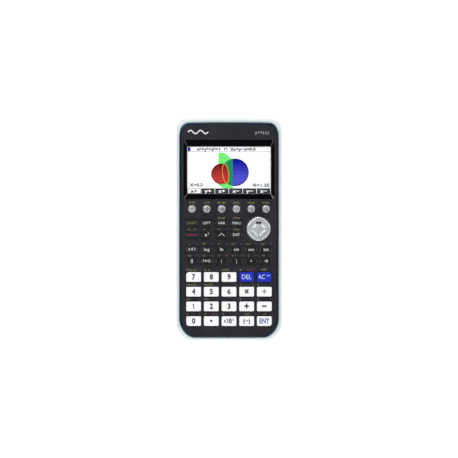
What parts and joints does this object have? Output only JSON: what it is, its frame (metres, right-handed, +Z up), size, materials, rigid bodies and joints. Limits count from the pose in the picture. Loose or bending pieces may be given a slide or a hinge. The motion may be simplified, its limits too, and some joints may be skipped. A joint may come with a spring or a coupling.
{
  "type": "graphing calculator",
  "caption": "Hand-held graphing calculator with a recessed colour display, a round cursor pad and a full keyboard of sprung keys in a two-part case, battery lid at the back.",
  "frame": {"origin": "centre of the case's outline, on the table it lies on, under the rubber feet", "axes": "+Z up, out of the keyboard face; +Y along the length, towards the display end; +X to the right as the keyboard is read"},
  "size_m": [0.089, 0.1886, 0.0186],
  "materials": {
    "front_case": "fine matte texture, near black, darker towards the foot",
    "rear_case": "satin, very pale blue-white",
    "black_keys": "satin black moulded plastic",
    "white_keys": "satin white moulded plastic",
    "blue_keys": "satin blue moulded plastic",
    "silver_keys": "metallised silver plastic",
    "silver_pad": "metallised silver plastic, spun and faceted",
    "window": "clear gloss",
    "display": null,
    "key_mat": "matte",
    "circuit_board": "solder-mask green",
    "battery_cells": "plain sleeve",
    "socket_metal": "tinned",
    "legend_white": "printed",
    "legend_gold": "printed",
    "legend_red": "printed",
    "legend_dark": "printed",
    "legend_blue": "printed",
    "screws": "blackened steel",
    "rubber_feet": "matte"
  },
  "bodies": {
    "case": {"front_cover": "front_case", "rear_cover": "rear_case", "display_window": "window", "display_panel": "display", "key_mat": "key_mat", "circuit_board": "circuit_board", "usb_socket": "socket_metal", "battery_1": "battery_cells", "battery_2": "battery_cells", "battery_3": "battery_cells", "battery_4": "battery_cells"},
    "battery_cover": {"battery_cover": "rear_case"},
    "cursor_pad_pivot": {"cursor_pad_pivot": "front_case"},
    "cursor_pad": {"cursor_pad": "silver_pad"},
    "key_f1": {"key_f1": "silver_keys"},
    "key_f2": {"key_f2": "silver_keys"},
    "key_f3": {"key_f3": "silver_keys"},
    "key_f4": {"key_f4": "silver_keys"},
    "key_f5": {"key_f5": "silver_keys"},
    "key_f6": {"key_f6": "silver_keys"},
    "key_shift": {"key_shift": "black_keys"},
    "key_options": {"key_options": "black_keys"},
    "key_variables": {"key_variables": "black_keys"},
    "key_menu": {"key_menu": "black_keys"},
    "key_alpha": {"key_alpha": "black_keys"},
    "key_square": {"key_square": "black_keys"},
    "key_power": {"key_power": "black_keys"},
    "key_exit": {"key_exit": "black_keys"},
    "key_x_theta_t": {"key_x_theta_t": "black_keys"},
    "key_log": {"key_log": "black_keys"},
    "key_ln": {"key_ln": "black_keys"},
    "key_sin": {"key_sin": "black_keys"},
    "key_cos": {"key_cos": "black_keys"},
    "key_tan": {"key_tan": "black_keys"},
    "key_fraction": {"key_fraction": "black_keys"},
    "key_format": {"key_format": "black_keys"},
    "key_open_bracket": {"key_open_bracket": "black_keys"},
    "key_close_bracket": {"key_close_bracket": "black_keys"},
    "key_comma": {"key_comma": "black_keys"},
    "key_store": {"key_store": "black_keys"},
    "key_7": {"key_7": "white_keys"},
    "key_8": {"key_8": "white_keys"},
    "key_9": {"key_9": "white_keys"},
    "key_delete": {"key_delete": "blue_keys"},
    "key_all_clear": {"key_all_clear": "blue_keys"},
    "key_4": {"key_4": "white_keys"},
    "key_5": {"key_5": "white_keys"},
    "key_6": {"key_6": "white_keys"},
    "key_multiply": {"key_multiply": "white_keys"},
    "key_divide": {"key_divide": "white_keys"},
    "key_1": {"key_1": "white_keys"},
    "key_2": {"key_2": "white_keys"},
    "key_3": {"key_3": "white_keys"},
    "key_add": {"key_add": "white_keys"},
    "key_subtract": {"key_subtract": "white_keys"},
    "key_0": {"key_0": "white_keys"},
    "key_decimal_point": {"key_decimal_point": "white_keys"},
    "key_exponent": {"key_exponent": "white_keys"},
    "key_negate": {"key_negate": "white_keys"},
    "key_execute": {"key_execute": "white_keys"}
  },
  "joints": [
    {"name": "battery_cover_hinge", "type": "hinge", "parent": "case", "child": "battery_cover", "pos_m": [0, 0.07655, 0.0005], "axis": [1, 0, 0], "range_deg": [0, 90]},
    {"name": "cursor_pad_tilt_x", "type": "hinge", "parent": "case", "child": "cursor_pad_pivot", "pos_m": [0.025, 0.00011, 0.0139], "axis": [1, 0, 0], "range_deg": [-3.2, 3.2], "stiffness_Nm_per_rad": 0.18},
    {"name": "cursor_pad_tilt_y", "type": "hinge", "parent": "cursor_pad_pivot", "child": "cursor_pad", "pos_m": [0.025, 0.00011, 0.0139], "axis": [0, 1, 0], "range_deg": [-3.2, 3.2], "stiffness_Nm_per_rad": 0.18},
    {"name": "key_f1_press", "type": "slide", "parent": "case", "child": "key_f1", "axis": [0, 0, 1], "range_m": [-0.0012, 0], "stiffness_N_per_m": 700},
    {"name": "key_f2_press", "type": "slide", "parent": "case", "child": "key_f2", "axis": [0, 0, 1], "range_m": [-0.0012, 0], "stiffness_N_per_m": 700},
    {"name": "key_f3_press", "type": "slide", "parent": "case", "child": "key_f3", "axis": [0, 0, 1], "range_m": [-0.0012, 0], "stiffness_N_per_m": 700},
    {"name": "key_f4_press", "type": "slide", "parent": "case", "child": "key_f4", "axis": [0, 0, 1], "range_m": [-0.0012, 0], "stiffness_N_per_m": 700},
    {"name": "key_f5_press", "type": "slide", "parent": "case", "child": "key_f5", "axis": [0, 0, 1], "range_m": [-0.0012, 0], "stiffness_N_per_m": 700},
    {"name": "key_f6_press", "type": "slide", "parent": "case", "child": "key_f6", "axis": [0, 0, 1], "range_m": [-0.0012, 0], "stiffness_N_per_m": 700},
    {"name": "key_shift_press", "type": "slide", "parent": "case", "child": "key_shift", "axis": [0, 0, 1], "range_m": [-0.0012, 0], "stiffness_N_per_m": 700},
    {"name": "key_options_press", "type": "slide", "parent": "case", "child": "key_options", "axis": [0, 0, 1], "range_m": [-0.0012, 0], "stiffness_N_per_m": 700},
    {"name": "key_variables_press", "type": "slide", "parent": "case", "child": "key_variables", "axis": [0, 0, 1], "range_m": [-0.0012, 0], "stiffness_N_per_m": 700},
    {"name": "key_menu_press", "type": "slide", "parent": "case", "child": "key_menu", "axis": [0, 0, 1], "range_m": [-0.0012, 0], "stiffness_N_per_m": 700},
    {"name": "key_alpha_press", "type": "slide", "parent": "case", "child": "key_alpha", "axis": [0, 0, 1], "range_m": [-0.0012, 0], "stiffness_N_per_m": 700},
    {"name": "key_square_press", "type": "slide", "parent": "case", "child": "key_square", "axis": [0, 0, 1], "range_m": [-0.0012, 0], "stiffness_N_per_m": 700},
    {"name": "key_power_press", "type": "slide", "parent": "case", "child": "key_power", "axis": [0, 0, 1], "range_m": [-0.0012, 0], "stiffness_N_per_m": 700},
    {"name": "key_exit_press", "type": "slide", "parent": "case", "child": "key_exit", "axis": [0, 0, 1], "range_m": [-0.0012, 0], "stiffness_N_per_m": 700},
    {"name": "key_x_theta_t_press", "type": "slide", "parent": "case", "child": "key_x_theta_t", "axis": [0, 0, 1], "range_m": [-0.0012, 0], "stiffness_N_per_m": 700},
    {"name": "key_log_press", "type": "slide", "parent": "case", "child": "key_log", "axis": [0, 0, 1], "range_m": [-0.0012, 0], "stiffness_N_per_m": 700},
    {"name": "key_ln_press", "type": "slide", "parent": "case", "child": "key_ln", "axis": [0, 0, 1], "range_m": [-0.0012, 0], "stiffness_N_per_m": 700},
    {"name": "key_sin_press", "type": "slide", "parent": "case", "child": "key_sin", "axis": [0, 0, 1], "range_m": [-0.0012, 0], "stiffness_N_per_m": 700},
    {"name": "key_cos_press", "type": "slide", "parent": "case", "child": "key_cos", "axis": [0, 0, 1], "range_m": [-0.0012, 0], "stiffness_N_per_m": 700},
    {"name": "key_tan_press", "type": "slide", "parent": "case", "child": "key_tan", "axis": [0, 0, 1], "range_m": [-0.0012, 0], "stiffness_N_per_m": 700},
    {"name": "key_fraction_press", "type": "slide", "parent": "case", "child": "key_fraction", "axis": [0, 0, 1], "range_m": [-0.0012, 0], "stiffness_N_per_m": 700},
    {"name": "key_format_press", "type": "slide", "parent": "case", "child": "key_format", "axis": [0, 0, 1], "range_m": [-0.0012, 0], "stiffness_N_per_m": 700},
    {"name": "key_open_bracket_press", "type": "slide", "parent": "case", "child": "key_open_bracket", "axis": [0, 0, 1], "range_m": [-0.0012, 0], "stiffness_N_per_m": 700},
    {"name": "key_close_bracket_press", "type": "slide", "parent": "case", "child": "key_close_bracket", "axis": [0, 0, 1], "range_m": [-0.0012, 0], "stiffness_N_per_m": 700},
    {"name": "key_comma_press", "type": "slide", "parent": "case", "child": "key_comma", "axis": [0, 0, 1], "range_m": [-0.0012, 0], "stiffness_N_per_m": 700},
    {"name": "key_store_press", "type": "slide", "parent": "case", "child": "key_store", "axis": [0, 0, 1], "range_m": [-0.0012, 0], "stiffness_N_per_m": 700},
    {"name": "key_7_press", "type": "slide", "parent": "case", "child": "key_7", "axis": [0, 0, 1], "range_m": [-0.0012, 0], "stiffness_N_per_m": 700},
    {"name": "key_8_press", "type": "slide", "parent": "case", "child": "key_8", "axis": [0, 0, 1], "range_m": [-0.0012, 0], "stiffness_N_per_m": 700},
    {"name": "key_9_press", "type": "slide", "parent": "case", "child": "key_9", "axis": [0, 0, 1], "range_m": [-0.0012, 0], "stiffness_N_per_m": 700},
    {"name": "key_delete_press", "type": "slide", "parent": "case", "child": "key_delete", "axis": [0, 0, 1], "range_m": [-0.0012, 0], "stiffness_N_per_m": 700},
    {"name": "key_all_clear_press", "type": "slide", "parent": "case", "child": "key_all_clear", "axis": [0, 0, 1], "range_m": [-0.0012, 0], "stiffness_N_per_m": 700},
    {"name": "key_4_press", "type": "slide", "parent": "case", "child": "key_4", "axis": [0, 0, 1], "range_m": [-0.0012, 0], "stiffness_N_per_m": 700},
    {"name": "key_5_press", "type": "slide", "parent": "case", "child": "key_5", "axis": [0, 0, 1], "range_m": [-0.0012, 0], "stiffness_N_per_m": 700},
    {"name": "key_6_press", "type": "slide", "parent": "case", "child": "key_6", "axis": [0, 0, 1], "range_m": [-0.0012, 0], "stiffness_N_per_m": 700},
    {"name": "key_multiply_press", "type": "slide", "parent": "case", "child": "key_multiply", "axis": [0, 0, 1], "range_m": [-0.0012, 0], "stiffness_N_per_m": 700},
    {"name": "key_divide_press", "type": "slide", "parent": "case", "child": "key_divide", "axis": [0, 0, 1], "range_m": [-0.0012, 0], "stiffness_N_per_m": 700},
    {"name": "key_1_press", "type": "slide", "parent": "case", "child": "key_1", "axis": [0, 0, 1], "range_m": [-0.0012, 0], "stiffness_N_per_m": 700},
    {"name": "key_2_press", "type": "slide", "parent": "case", "child": "key_2", "axis": [0, 0, 1], "range_m": [-0.0012, 0], "stiffness_N_per_m": 700},
    {"name": "key_3_press", "type": "slide", "parent": "case", "child": "key_3", "axis": [0, 0, 1], "range_m": [-0.0012, 0], "stiffness_N_per_m": 700},
    {"name": "key_add_press", "type": "slide", "parent": "case", "child": "key_add", "axis": [0, 0, 1], "range_m": [-0.0012, 0], "stiffness_N_per_m": 700},
    {"name": "key_subtract_press", "type": "slide", "parent": "case", "child": "key_subtract", "axis": [0, 0, 1], "range_m": [-0.0012, 0], "stiffness_N_per_m": 700},
    {"name": "key_0_press", "type": "slide", "parent": "case", "child": "key_0", "axis": [0, 0, 1], "range_m": [-0.0012, 0], "stiffness_N_per_m": 700},
    {"name": "key_decimal_point_press", "type": "slide", "parent": "case", "child": "key_decimal_point", "axis": [0, 0, 1], "range_m": [-0.0012, 0], "stiffness_N_per_m": 700},
    {"name": "key_exponent_press", "type": "slide", "parent": "case", "child": "key_exponent", "axis": [0, 0, 1], "range_m": [-0.0012, 0], "stiffness_N_per_m": 700},
    {"name": "key_negate_press", "type": "slide", "parent": "case", "child": "key_negate", "axis": [0, 0, 1], "range_m": [-0.0012, 0], "stiffness_N_per_m": 700},
    {"name": "key_execute_press", "type": "slide", "parent": "case", "child": "key_execute", "axis": [0, 0, 1], "range_m": [-0.0012, 0], "stiffness_N_per_m": 700}
  ]
}
